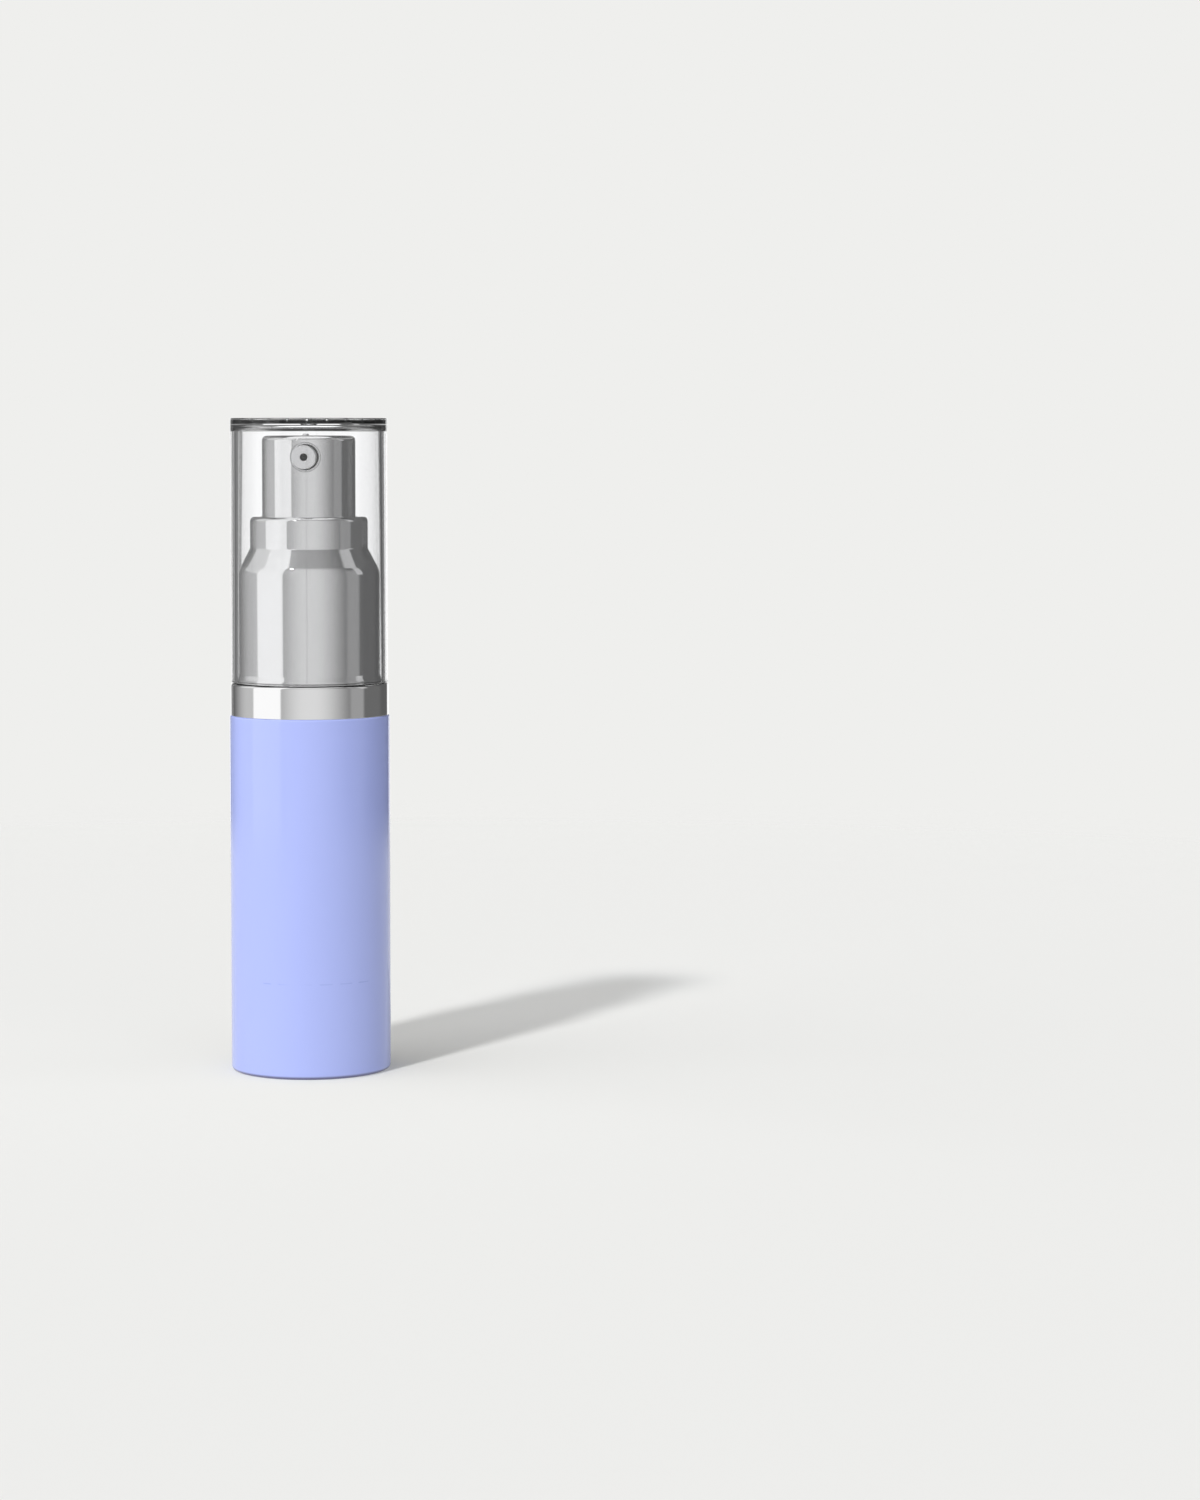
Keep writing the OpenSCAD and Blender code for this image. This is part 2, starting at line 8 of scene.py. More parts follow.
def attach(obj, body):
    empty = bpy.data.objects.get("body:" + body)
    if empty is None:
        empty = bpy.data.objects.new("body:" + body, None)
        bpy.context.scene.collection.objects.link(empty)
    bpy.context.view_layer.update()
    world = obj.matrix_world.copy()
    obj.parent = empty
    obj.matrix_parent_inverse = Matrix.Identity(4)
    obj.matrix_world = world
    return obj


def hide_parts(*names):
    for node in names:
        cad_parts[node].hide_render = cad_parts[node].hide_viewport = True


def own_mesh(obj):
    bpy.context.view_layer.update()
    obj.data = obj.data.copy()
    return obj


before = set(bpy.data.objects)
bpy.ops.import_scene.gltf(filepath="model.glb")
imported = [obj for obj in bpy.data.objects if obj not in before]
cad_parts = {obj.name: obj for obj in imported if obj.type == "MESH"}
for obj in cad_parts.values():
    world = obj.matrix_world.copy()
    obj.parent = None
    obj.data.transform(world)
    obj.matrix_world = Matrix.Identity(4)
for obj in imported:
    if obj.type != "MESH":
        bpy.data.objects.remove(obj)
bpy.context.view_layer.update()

mm = 0.001
mergeWithin = 1e-7

# Heights in mm that two pieces share.
heights = {"sleeveTop": 60.2, "bandTop": 65.7, "nozzle": 103.7}

# The lugs inside the sleeve's wall, in mm. Their size is depth, width and height. On the front, the gloss
# shows faint sink marks over them.
lugs = {"count": 24, "foot": 15.6, "size": (0.3, 1.6, 0.8)}
lugMiddle = lugs["foot"] + lugs["size"][2] / 2


# A node's output. A sum, difference or product with a number or another output adds its Math node.
class Wire:
    def __init__(self, graph, node, output=0):
        self.graph = graph
        self.node = node
        self.socket = node.outputs[output]

    def out(self, output):
        return Wire(self.graph, self.node, output)

    def __add__(self, other):
        return self.graph.maths("ADD", self, other)

    def __radd__(self, other):
        return self.graph.maths("ADD", other, self)

    def __sub__(self, other):
        return self.graph.maths("SUBTRACT", self, other)

    def __rsub__(self, other):
        return self.graph.maths("SUBTRACT", other, self)

    def __mul__(self, other):
        return self.graph.maths("MULTIPLY", self, other)

    def __rmul__(self, other):
        return self.graph.maths("MULTIPLY", other, self)


class Graph:
    def __init__(self, owner):
        owner.use_nodes = True
        self.tree = owner.node_tree
        self.tree.nodes.clear()

    def add(self, kind, settings=None, sockets=None):
        node = self.tree.nodes.new("ShaderNode" + kind)
        for name, value in (settings or {}).items():
            setattr(node, name, value)
        for name, value in (sockets or {}).items():
            if isinstance(value, Wire):
                self.tree.links.new(value.socket, node.inputs[name])
            else:
                node.inputs[name].default_value = value
        return Wire(self, node) if node.outputs else node

    def maths(self, operation, *values):
        return self.add("Math", {"operation": operation}, dict(enumerate(values)))

    # a place on the object, in metres
    def here(self):
        return self.add("TexCoord").out("Object")

    # noise over the object, finer along an axis where stretch is over 1 and drawn out where it is under 1
    def noise(self, scale, stretch=(1, 1, 1), detail=3):
        spot = self.add("Mapping", {}, {"Vector": self.here(), "Scale": stretch})
        return self.add("TexNoise", {}, {"Vector": spot, "Scale": scale, "Detail": detail})

    # 1 where value is within half of centre, then down to 0 over the edge
    def patch(self, value, centre, half, edge):
        away = self.maths("ABSOLUTE", value - centre)
        return self.add("MapRange", {"interpolation_type": "SMOOTHSTEP"}, {
            "Value": away, "From Min": half, "From Max": half + edge, "To Min": 1, "To Max": 0})

    # the plain tone, and the marked one as far as the mask goes; a tone may be a wire
    def tint(self, mask, plain, marked):
        first, second = (tone if isinstance(tone, Wire) else (*tone, 1) for tone in (plain, marked))
        return self.add("Mix", {"data_type": "RGBA"}, {0: mask, 6: first, 7: second}).out(2)

    # relief is the bump's strength and its depth in mm
    def bump(self, height, relief):
        strength, depth = relief
        return self.add("Bump", {}, {"Height": height, "Strength": strength, "Distance": depth * mm})

    def surface(self, **sockets):
        named = {name.replace("_", " "): value for name, value in sockets.items()}
        self.add("OutputMaterial", {}, {"Surface": self.add("BsdfPrincipled", {}, named)})

    # the first shader, and the second one as far as the mask goes
    def blend(self, output, mask, first, second):
        self.add(output, {}, {"Surface": self.add("MixShader", {}, {0: mask, 1: first, 2: second})})


def newMaterial(name):
    material = bpy.data.materials.new(name)
    return material, Graph(material)


# Degrees round the Z axis, 0 towards -Y and 90 towards +X, from a direction or a place.
def compass(graph, vector):
    axes = graph.add("SeparateXYZ", {}, {"Vector": vector})
    around = graph.maths("ARCTAN2", axes.out("X"), 0 - axes.out("Y"))
    return around * math.degrees(1), axes


def newObject(name, data):
    thing = bpy.data.objects.new(name, data)
    bpy.context.scene.collection.objects.link(thing)
    return thing


def toObject(name, shape):
    mesh = bpy.data.meshes.new(name)
    shape.to_mesh(mesh)
    shape.free()
    return newObject(name, mesh)


# Seen slightly from above and from the right. Place, lens and sensor are in mm, the pitch is in degrees,
# and nearest, where the view starts, is in metres.
cameraLook = {"place": (49.07, -641, 107.4), "pitch": 3.4, "lens": 91.16, "shift": -0.0597, "sensor": 36,
              "nearest": 0.01}


def makeCamera(look):
    camera = newObject("camera", bpy.data.cameras.new("camera"))
    camera.location = Vector(look["place"]) * mm
    camera.rotation_euler = (math.radians(90 - look["pitch"]), 0, 0)
    camera.data.lens = look["lens"]
    camera.data.shift_y = look["shift"]
    camera.data.sensor_width = look["sensor"]
    camera.data.clip_start = look["nearest"]
    bpy.context.scene.camera = camera
    print("camera in place")


# A panel is its direction (azimuth, elevation), half its size, its soft edge and its brightness, all angles
# in degrees. A later panel covers an earlier one. The overhead one has the elevation where it starts, its
# soft edge and its brightness.
studio = {
    "room": 0.13,
    "panels": {
        "leftWall": ((-95, 0), (3, 30), (50, 40), 0.66),
        "leftGap": ((-149.5, 0), (1.5, 30), (1.5, 6), 0.5),
        "frontCard": ((4, 0), (5, 29), (78, 43), 0.9),
        "rightFar": ((108, 0), (14, 30), (16, 20), 0.175),
        "rightStrip": ((78, 0), (9, 20), (6, 12), 0.41),
        "leftTop": ((-103, 28), (16, 14), (6, 6), 0.95),
        "rightTop": ((82, 44), (3, 5), (8, 5), 0.72),
        "rightLow": ((92, 24), (5, 16), (3, 6), 0.75),
        "softbox": ((-62.5, 10), (22.5, 48), (2.5, 6), 1.27),
    },
    "backdrop": ((180, -8), (19, 11.5), (2, 5), 1.16),
    "backdropColour": (0.863, 0.863, 0.847),
    "overhead": (66, 8, 1.35),
}


def lightStudio(look):
    world = bpy.data.worlds.new("studio")
    bpy.context.scene.world = world
    graph = Graph(world)
    around, axes = compass(graph, graph.add("TexCoord").out("Generated"))
    above = graph.maths("ARCSINE", axes.out("Z")) * math.degrees(1)
    behind = graph.maths("WRAP", around, 360, 0)  # has no jump at 180 degrees, where the backdrop is
    panels = [(around, *panel) for panel in look["panels"].values()] + [(behind, *look["backdrop"])]
    light = look["room"]
    for bearing, centre, half, edge, strength in panels:
        across = graph.patch(bearing, centre[0], half[0], edge[0])
        up = graph.patch(above, centre[1], half[1], edge[1])
        light = light + across * up * (strength - light)
    start, edge, strength = look["overhead"]
    light = light + graph.patch(above, 90, 90 - start, edge) * (strength - light)
    lit = graph.add("Background", {}, {"Color": (1, 1, 1, 1), "Strength": light})
    plain = graph.add("Background", {}, {"Color": (*look["backdropColour"], 1), "Strength": 1})
    graph.blend("OutputWorld", graph.add("LightPath").out("Is Camera Ray"), lit, plain)
    print("studio lit with", len(panels) + 1, "panels")


keyLight = {"azimuth": -29, "elevation": 43, "strength": 1.74, "spread": 4.8}


def hangKeyLight(look):
    key = newObject("key", bpy.data.lights.new("key", "SUN"))
    key.data.energy = look["strength"]
    key.data.angle = math.radians(look["spread"])
    azimuth, elevation = math.radians(look["azimuth"]), math.radians(look["elevation"])
    level = math.cos(elevation)
    towards = Vector((math.sin(azimuth) * level, -math.cos(azimuth) * level, math.sin(elevation)))
    key.rotation_euler = towards.to_track_quat("Z", "Y").to_euler()
    key.visible_glossy = False
    print("key light hung")


# A round table in mm that fades out before its edge. It lies just under the bottle's foot.
table = {"radius": 600, "drop": 0.02, "fadeFrom": 300, "fadeTo": 480, "colour": (0.802, 0.802, 0.788)}


def layTable(size):
    shape = bmesh.new()
    bmesh.ops.create_circle(shape, cap_ends=True, segments=96, radius=size["radius"] * mm)
    bmesh.ops.translate(shape, verts=shape.verts, vec=(0, 0, -size["drop"] * mm))
    floor = toObject("table", shape)
    material, graph = newMaterial("palePaper")
    far = graph.add("VectorMath", {"operation": "LENGTH"}, {0: graph.here()}).out("Value")
    fade = graph.add("MapRange", {"interpolation_type": "SMOOTHSTEP"}, {
        "Value": far, "From Min": size["fadeFrom"] * mm, "From Max": size["fadeTo"] * mm})
    paper = graph.add("BsdfDiffuse", {}, {"Color": (*size["colour"], 1)})
    graph.blend("OutputMaterial", fade, paper, graph.add("BsdfTransparent"))
    floor.data.materials.append(material)
    print("table laid")


makeCamera(cameraLook)
lightStudio(studio)
hangKeyLight(keyLight)
layTable(table)


# markLength and markHeight are half a mark's size, as a share of the pitch and in mm, and markBlur is the
# soft edge of both. markFront has the middle, half the width and the soft edge of the marked stretch, in
# degrees. The foot line is a painted contact shadow along the sleeve's foot: its height is in mm, and its
# fade is its soft edge as a multiple of it.
lavender = {
    "colour": (0.385, 0.447, 0.84), "shade": (0.365, 0.428, 0.82), "roughness": 0.045, "uneven": 0.04,
    "markShadeTone": (0.25, 0.30, 0.66), "markShadeStrength": 0.45, "markLength": 0.26, "markHeight": 0.05,
    "markBlur": 0.1, "markBreakup": (0.3, 0.55), "markFront": (10, 40, 3), "markDepth": 1.2, "markDull": 0.1,
    "footShadeTone": (0.15, 0.15, 0.27), "footShadeLine": 0.28, "footShadeFade": 1.5, "relief": (0.25, 0.05),
}


def lavenderGloss(look):
    material, graph = newMaterial("lavenderGloss")
    around, axes = compass(graph, graph.here())
    # faint sink marks over the lugs, broken up by noise and only round the front: dented by the bump and
    # darkened with painted shade
    beat = graph.maths("FRACT", around * (lugs["count"] / 360) + 0.5)
    dash = graph.patch(beat, 0.5, look["markLength"], look["markBlur"])
    ring = graph.patch(axes.out("Z"), lugMiddle * mm, look["markHeight"] * mm, look["markBlur"] * mm)
    least, most = look["markBreakup"]
    breakup = graph.noise(150, detail=1)
    brokenUp = graph.add("MapRange", {}, {"Value": breakup, "From Min": least, "From Max": most})
    sink = dash * ring * brokenUp * graph.patch(around, *look["markFront"])
    # painted contact shadow: a dark band along the foot, where the sleeve meets the floor
    foot = graph.patch(axes.out("Z"), 0, look["footShadeLine"] * mm, look["footShadeLine"] * look["footShadeFade"] * mm)
    flow = graph.noise(30, (1, 1, 0.15), 4)
    skin = graph.tint(flow * 0.5, look["colour"], look["shade"])
    # painted shade: the sink marks' darker tone
    marked = graph.tint(sink * look["markShadeStrength"], skin, look["markShadeTone"])
    height = graph.noise(260, detail=2) * 0.35 + graph.noise(2600, detail=2) * 0.1 - sink * look["markDepth"]
    graph.surface(
        Base_Color=graph.tint(foot, marked, look["footShadeTone"]),
        Roughness=look["roughness"] + (flow - 0.5) * look["uneven"] + sink * look["markDull"],
        Normal=graph.bump(height, look["relief"]),
        IOR=1.5,
    )
    return material


plugSatin = {"colour": (0.37, 0.45, 0.82), "shade": (0.34, 0.42, 0.79), "roughness": 0.42, "uneven": 0.16,
             "relief": (0.3, 0.03)}


def lavenderSatin(look):
    material, graph = newMaterial("lavenderSatin")
    flow = graph.noise(90, detail=4)
    spark = graph.noise(1900, detail=3)
    graph.surface(
        Base_Color=graph.tint(flow, look["colour"], look["shade"]),
        Roughness=look["roughness"] + (spark - 0.5) * look["uneven"],
        Normal=graph.bump(spark, look["relief"]),
        IOR=1.5,
    )
    return material


silver = {"colour": (0.765, 0.765, 0.765), "shade": (0.745, 0.745, 0.75), "roughness": 0.075, "uneven": 0.03,
          "relief": (0.05, 0.02)}

metallised = {**silver, "colour": (0.76, 0.76, 0.765), "shade": (0.73, 0.73, 0.74), "roughness": 0.16}


def polishedSilver(name, look):
    material, graph = newMaterial(name)
    cloud = graph.noise(70, detail=3)
    turning = graph.noise(55, (1, 1, 90), 2)  # the fine rings that polishing on a lathe leaves
    graph.surface(
        Base_Color=graph.tint(cloud, look["colour"], look["shade"]),
        Metallic=1,
        Roughness=look["roughness"] + (cloud - 0.5) * look["uneven"] + (turning - 0.5) * look["uneven"],
        Normal=graph.bump(turning * 0.5 + graph.noise(420, detail=2) * 0.5, look["relief"]),
    )
    return material


# The seam is where the mould's halves met, as the X of its middle, half its width and its soft edge in mm.
clearLook = {
    "colour": (0.93, 0.932, 0.935), "roughness": 0.0, "ior": 1.49, "shadow": (0.86, 0.87, 0.88),
    "seam": 0.5, "seamWidth": 0.12, "seamEdge": 0.05, "seamColour": (0.89, 0.892, 0.895), "seamDepth": 1.4,
    "relief": (0.12, 0.03),
}


def clearPlastic(look):
    material, graph = newMaterial("clearPlastic")
    axes = graph.add("SeparateXYZ", {}, {"Vector": graph.here()})
    seam = graph.patch(axes.out("X"), look["seam"] * mm, look["seamWidth"] * mm, look["seamEdge"] * mm)
    flow = graph.noise(45, (1, 1, 0.3), 2)
    glass = graph.add("BsdfPrincipled", {}, {
        "Base Color": graph.tint(seam, look["colour"], look["seamColour"]),
        "Roughness": look["roughness"], "IOR": look["ior"], "Transmission Weight": 1,
        "Normal": graph.bump(seam * look["seamDepth"] + flow * 0.5, look["relief"])})
    veil = graph.add("BsdfTransparent", {}, {"Color": (*look["shadow"], 1)})
    graph.blend("OutputMaterial", graph.add("LightPath").out("Is Shadow Ray"), glass, veil)
    return material


plastics = {
    "naturalPlastic": {"colour": (0.80, 0.80, 0.76), "shade": (0.75, 0.75, 0.71), "roughness": 0.38,
                       "grain": 1500, "glow": 0.15},
    "softPlastic": {"colour": (0.86, 0.86, 0.85), "shade": (0.82, 0.82, 0.81), "roughness": 0.5,
                    "grain": 2200, "glow": 0.1},
    "paleRubber": {"colour": (0.70, 0.70, 0.67), "shade": (0.64, 0.64, 0.61), "roughness": 0.72,
                   "grain": 3200, "glow": 0.0},
}


def plainPlastic(name):
    look = plastics[name]
    material, graph = newMaterial(name)
    flow = graph.noise(160, detail=4)
    fine = graph.noise(look["grain"], detail=2)
    graph.surface(
        Base_Color=graph.tint(flow, look["colour"], look["shade"]),
        Roughness=look["roughness"] + (fine - 0.5) * 0.12,
        Normal=graph.bump(fine, (0.2, 0.02)),
        IOR=1.49,
        Subsurface_Weight=look["glow"],
        Subsurface_Scale=mm,
    )
    return material


springSteel = {"colour": (0.58, 0.58, 0.6), "shade": (0.46, 0.46, 0.48), "roughness": 0.2, "uneven": 0.14,
               "relief": (0.15, 0.01)}


def drawnSteel(look):
    material, graph = newMaterial("drawnSteel")
    streak = graph.noise(700, (1, 1, 6), 4)
    graph.surface(
        Base_Color=graph.tint(streak, look["colour"], look["shade"]),
        Metallic=1,
        Roughness=look["roughness"] + streak * look["uneven"],
        Normal=graph.bump(streak, look["relief"]),
    )
    return material


finish = {
    "gloss": lavenderGloss(lavender),
    "satin": lavenderSatin(plugSatin),
    "silver": polishedSilver("polishedSilver", silver),
    "spout": polishedSilver("metallisedPlastic", metallised),
    "clear": clearPlastic(clearLook),
    "natural": plainPlastic("naturalPlastic"),
    "soft": plainPlastic("softPlastic"),
    "rubber": plainPlastic("paleRubber"),
    "steel": drawnSteel(springSteel),
}
print("finishes mixed:", ", ".join(finish))


# Rounds one corner of an outline to a radius in mm.
def arc(shape, corner, rounding, segments=8):
    first, second = ((edge.other_vert(corner).co - corner.co) for edge in corner.link_edges)
    reach = rounding * mm / math.tan(first.angle(second) / 2)
    bmesh.ops.bevel(shape, geom=[corner], offset=reach, offset_type="OFFSET", segments=segments, profile=0.5,
                    affect="VERTICES", material=-1)


# Corners are (radius, height, rounding) in mm. An outline that touches the axis stays open there.
def lathe(outline, steps=192):
    shape = bmesh.new()
    corners = [shape.verts.new((spot[0] * mm, 0, spot[1] * mm)) for spot in outline]
    touchesAxis = outline[0][0] == 0 and outline[-1][0] == 0
    for first, second in zip(corners, corners[1:] + ([] if touchesAxis else corners[:1])):
        shape.edges.new((first, second))
    for corner, spot in zip(corners, outline):
        if len(spot) > 2:
            arc(shape, corner, spot[2])
    bmesh.ops.spin(shape, geom=shape.verts[:] + shape.edges[:], cent=(0, 0, 0), axis=(0, 0, 1),
                   dvec=(0, 0, 0), angle=math.tau, steps=steps, use_merge=True)
    bmesh.ops.remove_doubles(shape, verts=shape.verts, dist=mergeWithin)
    bmesh.ops.recalc_face_normals(shape, faces=shape.faces)
    return shape


# Equal boxes in mm, spread evenly round the axis. The first one is turned by a share of the pitch.
def addBoxes(shape, count, radius, height, size, turned=0):
    spot = Matrix.Translation(Vector((radius, 0, height)) * mm)
    stretch = Matrix.Diagonal([side * mm for side in size] + [1])
    for k in range(count):
        turn = Matrix.Rotation(math.tau * (k + turned) / count, 4, "Z")
        bmesh.ops.create_cube(shape, size=1, matrix=turn @ spot @ stretch)


# Lays a shape made round the Z axis along -Y, the way the nozzle points.
def layForward(shape):
    bmesh.ops.rotate(shape, verts=shape.verts, cent=(0, 0, 0), matrix=Matrix.Rotation(math.pi / 2, 3, "X"))


# Adds or cuts one closed shape, and gives back the result as a new shape.
def combine(shape, tool, operation):
    base, other = toObject("base", shape), toObject("tool", tool)
    boolean = base.modifiers.new("combine", "BOOLEAN")
    boolean.object, boolean.operation, boolean.solver = other, operation, "EXACT"
    result = bmesh.new()
    result.from_object(base, bpy.context.evaluated_depsgraph_get())
    bpy.data.objects.remove(base)
    bpy.data.objects.remove(other)
    bmesh.ops.remove_doubles(result, verts=result.verts, dist=mergeWithin)
    return result


def place(name, shape, material, slot, body, *nodes):
    sharpFrom = math.radians(25)
    for face in shape.faces:
        face.smooth = True
    for edge in shape.edges:
        edge.smooth = len(edge.link_faces) == 2 and edge.calc_face_angle() < sharpFrom
    piece = toObject(name, shape)
    piece.data.materials.append(finish[material])
    shading = piece.modifiers.new("evenShading", "WEIGHTED_NORMAL")
    shading.keep_sharp = True
    shading.weight = 100
    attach(piece, body)
    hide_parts(*nodes)
    print("made", name, "with", len(piece.data.polygons), "faces")
    return piece


# The pieces' sizes and heights are in mm, and each radius is from the piece's own axis.
sleeve = {"radius": 13.5, "top": heights["sleeveTop"], "wall": 1.3, "footRound": 0.7, "rimRound": 0.3}


def makeSleeve(size):
    radius, top = size["radius"], size["top"]
    inner = radius - size["wall"]
    shape = lathe([(inner, 0), (radius, 0, size["footRound"]), (radius, top, size["rimRound"]), (inner, top)])
    addBoxes(shape, lugs["count"], inner - lugs["size"][0] / 2, lugMiddle, lugs["size"])
    piece = place("sleeveTube", shape, "gloss", "sleeve", "bottle", "outer_sleeve")
    piece.visible_diffuse = False  # keeps its blue off the pale floor


band = {"radius": 13.3, "foot": heights["sleeveTop"], "footRound": 0.08, "top": heights["bandTop"],
        "topRound": 0.55, "wall": 0.7, "ledgeInner": 11.15, "ledgeThick": 0.9, "ledgeRound": 0.1,
        "insideRound": 0.3}


def makeBand(size):
    radius, foot, top, ledge = size["radius"], size["foot"], size["top"], size["ledgeInner"]
    inner, under = radius - size["wall"], top - size["ledgeThick"]
    shape = lathe([
        (inner, foot), (radius, foot, size["footRound"]), (radius, top, size["topRound"]),
        (ledge, top, size["ledgeRound"]), (ledge, under), (inner, under, size["insideRound"]),
    ], steps=256)
    place("shoulderBand", shape, "silver", "silver", "bottle", "shoulder_ring")


collar = {
    "foot": heights["bandTop"], "bead": 12.15, "beadProud": 0.3, "beadHeight": 1.5, "beadRound": 0.8,
    "coneFoot": 84.7, "coneFootRound": 3, "coneTop": 88.4, "coneTopRound": 0.4, "coneInset": 0.35,
    "step": 1.9, "wall": 0.7, "top": 93.7, "topRound": 0.8, "hole": 8.06, "holeRound": 0.2,
}


def makeCollar(size):
    foot, top, wall, hole, bead = size["foot"], size["top"], size["wall"], size["hole"], size["bead"]
    wide = bead - size["beadProud"]
    narrow = wide - size["step"]
    inset = wall * size["coneInset"]  # lowers the cone inside, so its wall stays about as thick as the rest
    shape = lathe([
        (wide - wall, foot), (bead - size["beadProud"] / 2, foot),
        (bead, foot + size["beadHeight"] / 3, size["beadRound"]),
        (wide, foot + size["beadHeight"], size["beadRound"]),
        (wide, size["coneFoot"], size["coneFootRound"]), (narrow, size["coneTop"], size["coneTopRound"]),
        (narrow, top, size["topRound"]), (hole, top, size["holeRound"]),
        (hole, top - wall), (narrow - wall, top - wall, size["holeRound"]),
        (narrow - wall, size["coneTop"] - inset), (wide - wall, size["coneFoot"] - inset),
    ], steps=256)
    place("steppedCollar", shape, "silver", "silver", "bottle", "collar")


cup = {
    "radius": 7.91, "foot": 91.2, "footRound": 0.2, "top": 107.3, "topRound": 0.9, "wall": 0.9,
    "rim": 2.35, "dish": 0.3, "dishRound": 0.3, "pip": 1, "pipHeight": 0.3, "pipInset": 0.15,
    "nozzleHeight": heights["nozzle"], "holeRadius": 2.1, "flare": 0.3, "groove": 0.12, "toolPast": 0.5,
}


# The tool that cuts the nozzle's hole. It follows the round wall, so the hole gets an even rim inside a
# fine groove.
def roundedHole(size):
    hole, flare, groove, past = size["holeRadius"], size["flare"], size["groove"], size["toolPast"]
    outline = [(0, -size["wall"] - past), (hole, -size["wall"] - past)]
    for turn in range(0, 91, 10):
        angle = math.radians(turn)
        outline.append((hole + flare * (1 - math.cos(angle)), flare * (math.sin(angle) - 1)))
    edge = hole + flare + groove
    outline += [(edge - groove / 2, -groove), (edge, 0), (edge, past), (0, past)]
    shape = lathe(outline, steps=96)
    layForward(shape)
    for vert in shape.verts:
        vert.co.y -= math.sqrt((size["radius"] * mm) ** 2 - vert.co.x ** 2)
    bmesh.ops.translate(shape, verts=shape.verts, vec=(0, 0, size["nozzleHeight"] * mm))
    return shape


def makeCup(size):
    radius, foot, top, wall = size["radius"], size["foot"], size["top"], size["wall"]
    inner, rim, floor = radius - wall, radius - size["rim"], top - size["dish"]
    shape = lathe([
        (0, floor), (rim - 2 * size["dish"], floor, size["dishRound"]), (rim, top, size["dishRound"]),
        (radius, top, size["topRound"]), (radius, foot, size["footRound"]), (inner, foot),
        (inner, floor - wall, size["dishRound"]), (0, floor - wall),
    ])
    pipRadius, pipTop = size["pip"] / 2, top + size["pipHeight"]
    pip = lathe([
        (0, pipTop), (pipRadius, pipTop, size["pipHeight"] / 2), (pipRadius, floor), (0, floor),
    ], steps=48)
    out = radius - size["topRound"] - pipRadius - size["pipInset"]
    bmesh.ops.translate(pip, verts=pip.verts, vec=(0, -out * mm, 0))
    shape = combine(shape, pip, "UNION")
    shape = combine(shape, roundedHole(size), "DIFFERENCE")
    place("actuatorCup", shape, "silver", "silver", "actuator", "actuator_shell")


# Seat and face are how far its two ends are from the bottle's axis.
spout = {"height": heights["nozzle"], "seat": 4.43, "face": 10.95, "radius": 2, "seatRound": 0.3,
         "faceRound": 0.2, "outlet": 0.6, "outletRound": 0.1, "outletDepth": 2, "bore": 0.9, "boreDepth": 2.3}


def makeSpout(size):
    radius, outlet, bore, length = size["radius"], size["outlet"], size["bore"], size["face"] - size["seat"]
    shape = lathe([
        (bore, 0), (radius, 0, size["seatRound"]), (radius, length, size["faceRound"]),
        (outlet, length, size["outletRound"]), (outlet, length - size["outletDepth"]),
        (bore, length - size["boreDepth"]),
    ], steps=96)
    layForward(shape)
    bmesh.ops.translate(shape, verts=shape.verts, vec=(0, -size["seat"] * mm, size["height"] * mm))
    place("spoutInsert", shape, "spout", "silver_plastic", "actuator", "nozzle")


# The top is sunken: a floor with a dimple in its middle slopes up to a rim with notches on its inside.
overcap = {
    "radius": 13.2, "mouth": 65.75, "mouthInner": 12.2, "mouthRound": 0.2, "top": 110.2, "topRound": 0.25,
    "ceiling": 108.2, "ceilingFlat": 5.94, "ceilingBend": 10, "ceilingInner": 11.9, "ceilingRise": 1.05,
    "corner": 1.1, "floor": 109.2, "floorFlat": 9.64, "floorBend": 3, "slope": 0.65, "rim": 12.4,
    "rimLean": 0.1, "rimRound": 0.1, "dimple": 1, "dimpleFloor": 0.6, "dimpleDepth": 0.35,
    "dimpleRound": 0.1, "dimpleBend": 0.2, "notches": 24, "notchTurn": 0.2, "notchSize": (0.9, 0.3, 1),
    "notchInset": 0.15, "notchRise": 0.1,
}


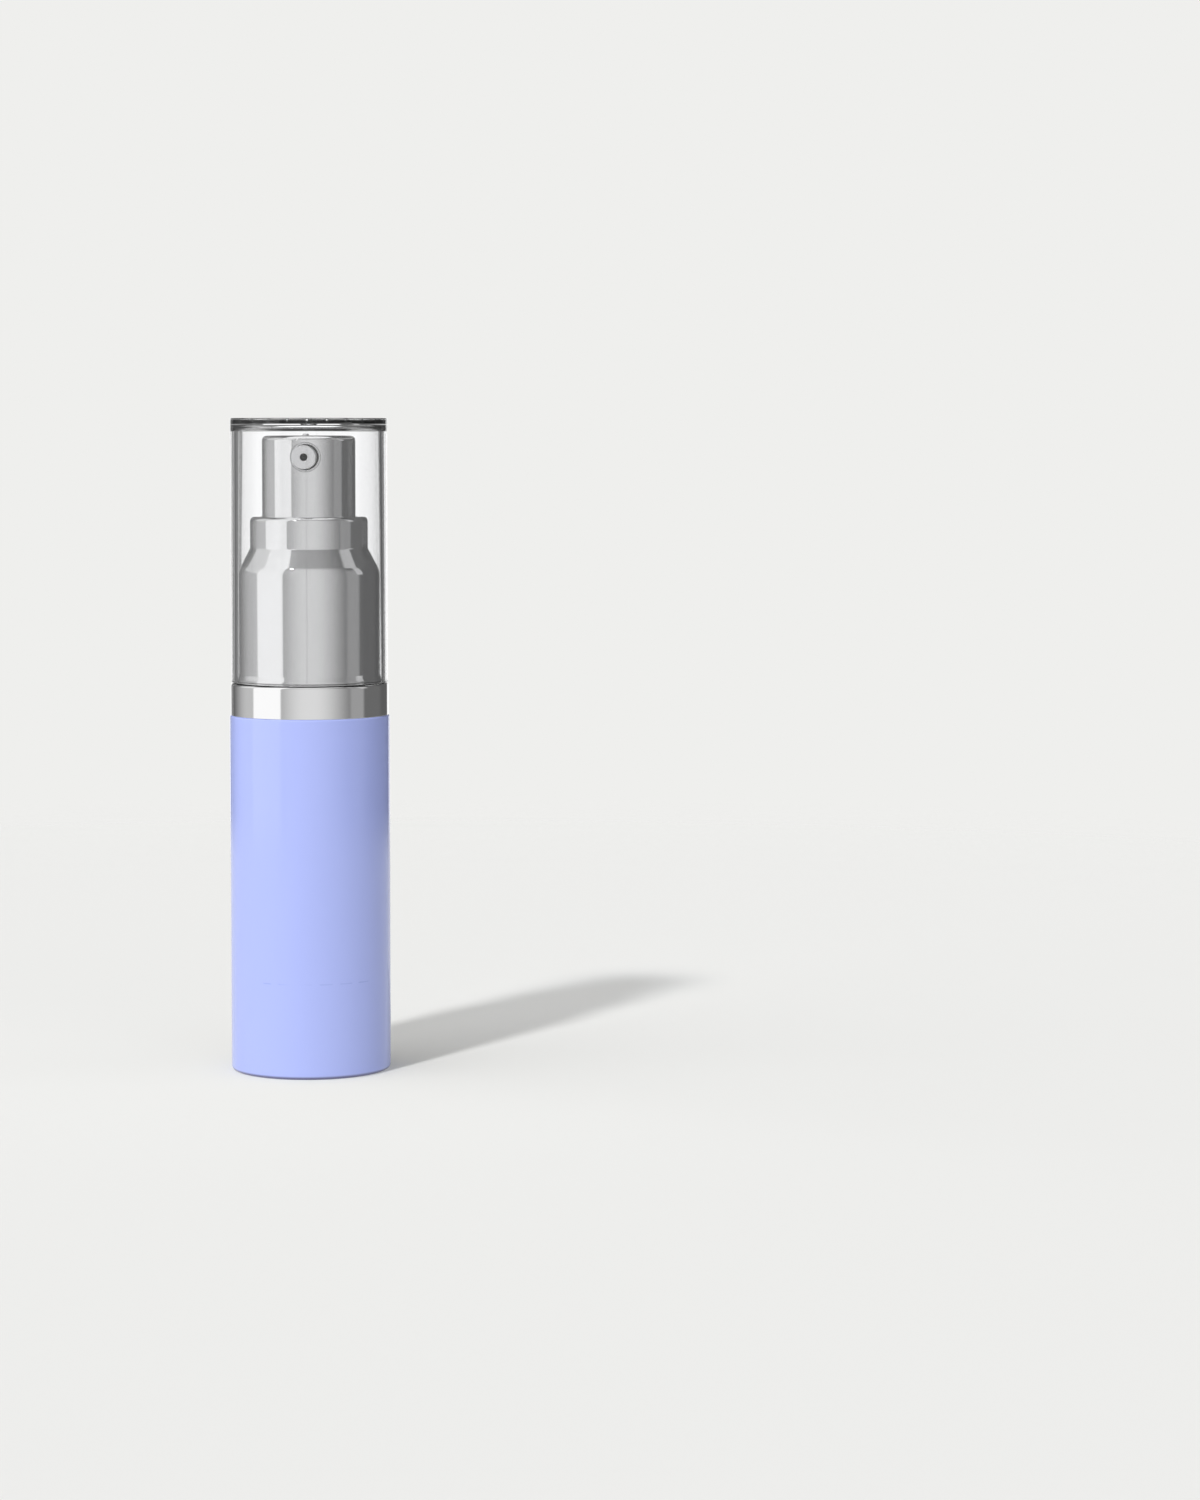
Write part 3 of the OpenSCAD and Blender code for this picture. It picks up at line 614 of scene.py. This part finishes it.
def makeOvercap(size):
    radius, mouth, top, ceiling = size["radius"], size["mouth"], size["top"], size["ceiling"]
    floor, rim = size["floor"], size["rim"]
    pit, edge = floor - size["dimpleDepth"], floor + size["slope"]
    shape = lathe([
        (0, pit), (size["dimpleFloor"], pit, size["dimpleBend"]),
        (size["dimple"], floor, size["dimpleRound"]), (size["floorFlat"], floor, size["floorBend"]),
        (rim - size["rimLean"], edge, size["rimRound"]),
        (rim, top, size["rimRound"]), (radius, top, size["topRound"]), (radius, mouth, size["mouthRound"]),
        (size["mouthInner"], mouth, size["mouthRound"]),
        (size["ceilingInner"], ceiling + size["ceilingRise"], size["corner"]),
        (size["ceilingFlat"], ceiling, size["ceilingBend"]), (0, ceiling),
    ], steps=240)
    notches = bmesh.new()
    addBoxes(notches, size["notches"], rim - size["notchInset"], edge + size["notchRise"], size["notchSize"],
             size["notchTurn"])
    shape = combine(shape, notches, "DIFFERENCE")
    place("clearOvercap", shape, "clear", "clear_plastic", "cap", "overcap")


# Pressed is the share of its length that is left at a full stroke.
spring = {"radius": 3.1, "wire": 0.7, "wireSides": 14, "foot": 84.6, "length": 10.9, "openTurns": 5,
          "closedPitch": 1.04, "stepsPerTurn": 40, "pressed": 0.541}


# Wound from a round of wire: one closed turn, the open ones and one more closed turn.
def makeSpring(size):
    shape = bmesh.new()
    wire, steps = size["wire"], size["stepsPerTurn"]
    start = Vector((size["radius"], 0, size["foot"] + wire / 2)) * mm
    facing = Matrix.Translation(start) @ Matrix.Rotation(math.pi / 2, 4, "X")
    bmesh.ops.create_circle(shape, cap_ends=True, segments=size["wireSides"], radius=wire / 2 * mm,
                            matrix=facing)
    closedRise = wire * size["closedPitch"]
    openRise = (size["length"] - wire - 2 * closedRise) / size["openTurns"]
    end = shape.verts[:] + shape.edges[:] + shape.faces[:]
    for turns, rise in ((1, closedRise), (size["openTurns"], openRise), (1, closedRise)):
        end = bmesh.ops.spin(
            shape, geom=end, cent=(0, 0, 0), axis=(0, 0, 1), dvec=(0, 0, rise * mm / steps),
            angle=math.tau * turns, steps=turns * steps)["geom_last"]
    bmesh.ops.recalc_face_normals(shape, faces=shape.faces)
    piece = place("returnSpring", shape, "steel", "steel", "bottle", "return_spring")
    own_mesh(piece)


makeSleeve(sleeve)
makeBand(band)
makeCollar(collar)
makeCup(cup)
makeSpout(spout)
makeOvercap(overcap)
makeSpring(spring)


# The inner pieces keep their meshes from the frame.
innerFinish = {
    "base_plug": "satin", "container": "natural", "follower_piston": "soft", "closure": "natural",
    "housing_gasket": "rubber", "pump_housing": "natural", "ball_cage": "natural", "inlet_ball": "steel",
    "stem_guide": "natural", "stem": "natural", "valve_rod": "natural", "pump_piston": "soft",
    "actuator_core": "natural",
}

for node, material in innerFinish.items():
    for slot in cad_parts[node].material_slots:
        slot.link = "OBJECT"
        slot.material = finish[material]
print("inner pieces finished:", len(innerFinish))

bpy.context.scene.view_settings.view_transform = "Standard"
